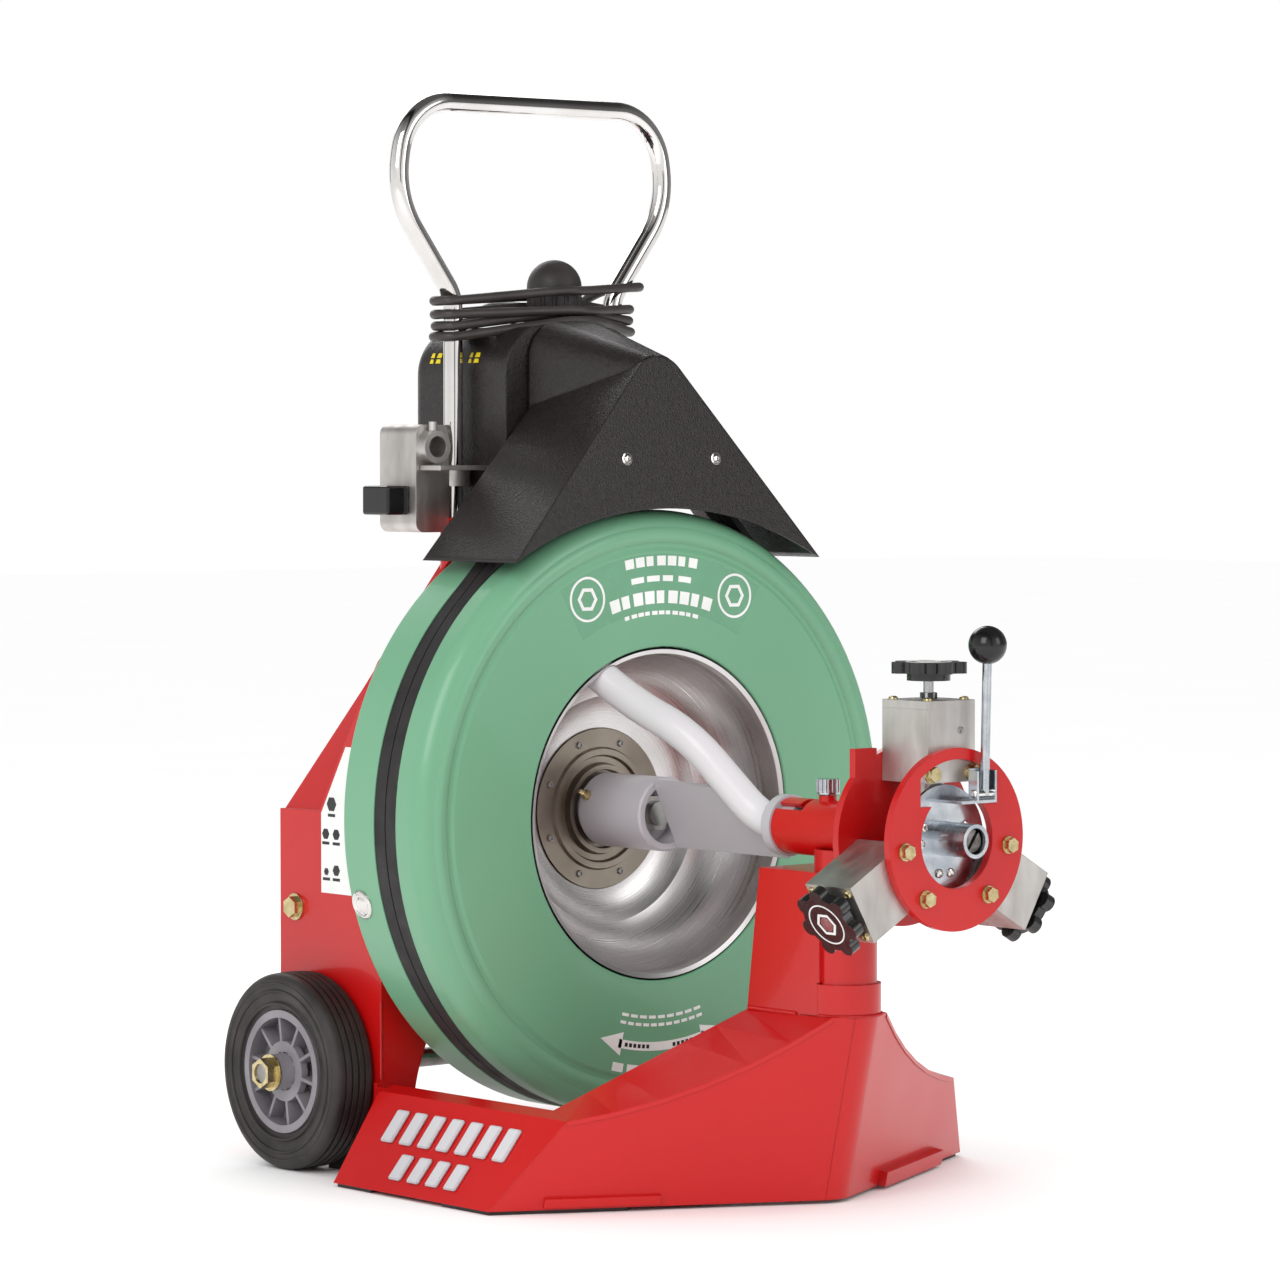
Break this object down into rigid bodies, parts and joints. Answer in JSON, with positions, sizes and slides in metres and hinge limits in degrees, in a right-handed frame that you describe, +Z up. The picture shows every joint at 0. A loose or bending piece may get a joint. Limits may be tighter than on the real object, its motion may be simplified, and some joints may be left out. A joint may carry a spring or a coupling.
{
  "type": "drain snake machine",
  "caption": "Wheeled drum drain-cleaning machine with a red base and column, belt-driven green cable drum, hooded motor, lever feed head and chrome handle.",
  "frame": {"origin": "on the floor under the middle of the footprint", "axes": "+Z up, the cable leaves towards -Y, the wheels and motor are at +Y, X is across"},
  "size_m": [0.632, 0.8799, 1.109],
  "materials": {
    "red_paint": "gloss",
    "green_paint": "gloss",
    "black_texture": "pebbled",
    "black_paint": "satin",
    "black_plastic": "gloss",
    "rubber": "matte",
    "tyre_rubber": "matte",
    "grey_plastic": "satin",
    "chrome": "polished",
    "steel": "satin",
    "cable_steel": "oiled",
    "zinc": "bright",
    "cast_aluminium": "cast",
    "spun_aluminium": "spun",
    "yellow_zinc": "bright",
    "bowl_steel": "satin",
    "grey_paint": "satin",
    "white_paint": "satin",
    "copper": "varnished",
    "belt_rubber": "matte",
    "cord_rubber": "matte"
  },
  "bodies": {
    "frame": {"base_rails": "red_paint", "base_front_plates": "red_paint", "front_tower": "red_paint", "rubber_feet": "rubber", "column_plates": "red_paint", "column_rear_cover": "red_paint", "motor_mount": "red_paint", "wheel_axle": "steel", "frame_bolts": "yellow_zinc", "drum_spindle": "steel", "motor_housing": "black_paint", "motor_stator": "copper", "motor_cover": "black_texture", "belt_guard": "black_texture", "drive_belts": "belt_rubber", "handle_guides": "cast_aluminium", "switch_box": "cast_aluminium", "cord_gland": "black_plastic", "power_cord": "cord_rubber", "power_cord_coil": "cord_rubber", "power_plug": "black_plastic", "bearing_collar": "grey_paint", "clamp_sleeve": "red_paint", "rear_head_plate": "red_paint", "front_head_plate": "red_paint", "head_bolts": "yellow_zinc", "feed_arm_blocks": "cast_aluminium"},
    "drum": {"drum_front_shell": "green_paint", "drum_rear_shell": "green_paint", "drum_hub": "steel", "drum_bearings": "steel", "cable_coil": "cable_steel"},
    "cable_guide": {"inner_bowl": "spun_aluminium", "bowl_centre_plate": "bowl_steel", "guide_hub": "grey_paint", "guide_arm_plate": "grey_paint", "guide_tube": "white_paint", "cable_lead": "cable_steel"},
    "rotor": {"motor_rotor": "steel", "motor_pulley": "steel"},
    "handle": {"carry_handle": "chrome"},
    "feed_lever": {"control_plate": "zinc", "lever_rod": "zinc", "lever_ball": "black_plastic"},
    "left_wheel": {"tyre_left": "tyre_rubber", "wheel_hub_left": "grey_plastic"},
    "right_wheel": {"tyre_right": "tyre_rubber", "wheel_hub_right": "grey_plastic"},
    "sleeve_screw": {"thumb_screw": "zinc"},
    "switch_handle": {"switch_paddle": "black_plastic"},
    "dome_knob": {"domed_knob": "rubber"},
    "upper_knob": {"feed_knob_top": "black_plastic"},
    "top_yoke": {"roller_yoke_top": "steel"},
    "top_roller": {"feed_roller_top": "steel"},
    "left_knob": {"feed_knob_left": "black_plastic"},
    "left_yoke": {"roller_yoke_left": "steel"},
    "left_roller": {"feed_roller_left": "steel"},
    "right_knob": {"feed_knob_right": "black_plastic"},
    "right_yoke": {"roller_yoke_right": "steel"},
    "right_roller": {"feed_roller_right": "steel"}
  },
  "joints": [
    {"name": "drum_spin", "type": "hinge", "parent": "frame", "child": "drum", "pos_m": [0, 0.10895, 0.3683], "axis": [0, 1, 0], "continuous": true},
    {"name": "guide_spin", "type": "hinge", "parent": "frame", "child": "cable_guide", "pos_m": [0, 0.08895, 0.3683], "axis": [0, 1, 0], "continuous": true},
    {"name": "motor_spin", "type": "hinge", "parent": "frame", "child": "rotor", "pos_m": [0, 0.18895, 0.76], "axis": [0, 1, 0], "continuous": true},
    {"name": "left_wheel_spin", "type": "hinge", "parent": "frame", "child": "left_wheel", "pos_m": [-0.267, 0.31395, 0.1016], "axis": [1, 0, 0], "continuous": true},
    {"name": "right_wheel_spin", "type": "hinge", "parent": "frame", "child": "right_wheel", "pos_m": [0.267, 0.31395, 0.1016], "axis": [1, 0, 0], "continuous": true},
    {"name": "handle_lift", "type": "slide", "parent": "frame", "child": "handle", "axis": [0, 0, 1], "range_m": [0, 0.2]},
    {"name": "lever_swing", "type": "hinge", "parent": "frame", "child": "feed_lever", "pos_m": [0, -0.37105, 0.3683], "axis": [0, -1, 0], "range_deg": [0, 48]},
    {"name": "sleeve_screw_turn", "type": "hinge", "parent": "frame", "child": "sleeve_screw", "pos_m": [0, -0.20405, 0.41], "axis": [0, 0, 1], "range_deg": [0, 720]},
    {"name": "switch_turn", "type": "hinge", "parent": "frame", "child": "switch_handle", "pos_m": [-0.165, 0.27595, 0.688], "axis": [1, 0, 0], "range_deg": [-45, 45]},
    {"name": "dome_knob_turn", "type": "hinge", "parent": "frame", "child": "dome_knob", "pos_m": [0.035, 0.26395, 0.9], "axis": [0, 0, 1], "range_deg": [0, 360]},
    {"name": "top_knob_turn", "type": "hinge", "parent": "frame", "child": "upper_knob", "pos_m": [0, -0.34705, 0.5183], "axis": [0, 0, 1], "range_deg": [0, 1640]},
    {"name": "top_yoke_slide", "type": "slide", "parent": "frame", "child": "top_yoke", "axis": [0, 0, 1], "range_m": [0, 0.008]},
    {"name": "top_roller_spin", "type": "hinge", "parent": "top_yoke", "child": "top_roller", "pos_m": [0, -0.34705, 0.3877], "axis": [0, 1, 0], "continuous": true},
    {"name": "left_knob_turn", "type": "hinge", "parent": "frame", "child": "left_knob", "pos_m": [-0.1299, -0.34705, 0.2933], "axis": [-0.866, 0, -0.5], "range_deg": [0, 1640]},
    {"name": "left_yoke_slide", "type": "slide", "parent": "frame", "child": "left_yoke", "axis": [-0.866, 0, -0.5], "range_m": [0, 0.008]},
    {"name": "left_roller_spin", "type": "hinge", "parent": "left_yoke", "child": "left_roller", "pos_m": [-0.0168, -0.34705, 0.3586], "axis": [0, 1, 0], "continuous": true},
    {"name": "right_knob_turn", "type": "hinge", "parent": "frame", "child": "right_knob", "pos_m": [0.1299, -0.34705, 0.2933], "axis": [0.866, 0, -0.5], "range_deg": [0, 1640]},
    {"name": "right_yoke_slide", "type": "slide", "parent": "frame", "child": "right_yoke", "axis": [0.866, 0, -0.5], "range_m": [0, 0.008]},
    {"name": "right_roller_spin", "type": "hinge", "parent": "right_yoke", "child": "right_roller", "pos_m": [0.0168, -0.34705, 0.3586], "axis": [0, 1, 0], "continuous": true}
  ],
  "couplings": [
    {"joint": "motor_spin", "follows": "drum_spin", "ratio": 9.5844},
    {"joint": "top_yoke_slide", "follows": "top_knob_turn", "m_per_rad": 0.00027852},
    {"joint": "left_yoke_slide", "follows": "left_knob_turn", "m_per_rad": 0.00027852},
    {"joint": "right_yoke_slide", "follows": "right_knob_turn", "m_per_rad": 0.00027852}
  ]
}
